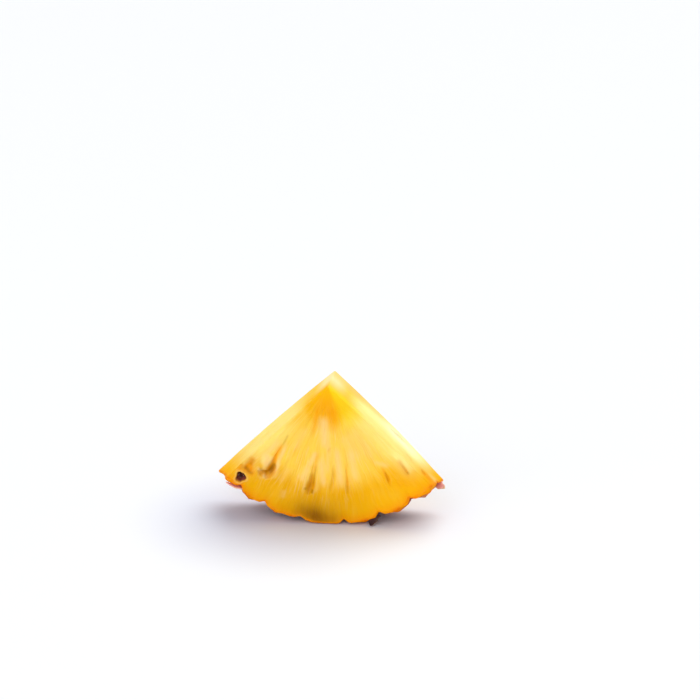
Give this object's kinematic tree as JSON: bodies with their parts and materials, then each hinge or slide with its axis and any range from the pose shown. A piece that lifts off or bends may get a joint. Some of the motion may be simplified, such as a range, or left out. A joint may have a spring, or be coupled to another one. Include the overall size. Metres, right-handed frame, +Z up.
{
  "type": "pineapple chunk",
  "caption": "Fresh pineapple chunk: a quarter slice cut to the core, yellow flesh with radial fissures, scaly rind along its curved edge.",
  "frame": {"origin": "middle of the outline's box at the floor, on the small flat spot under the core edge that the slice stands on", "axes": "+Z up from the rind to the core edge, -Y out of the cut face that the picture shows, +X to the right of that face"},
  "size_m": [0.0909, 0.0214, 0.0569],
  "materials": {
    "flesh": "wet glossy fruit flesh"
  },
  "bodies": {
    "root": {"pineapple_chunk": "flesh"}
  },
  "joints": []
}
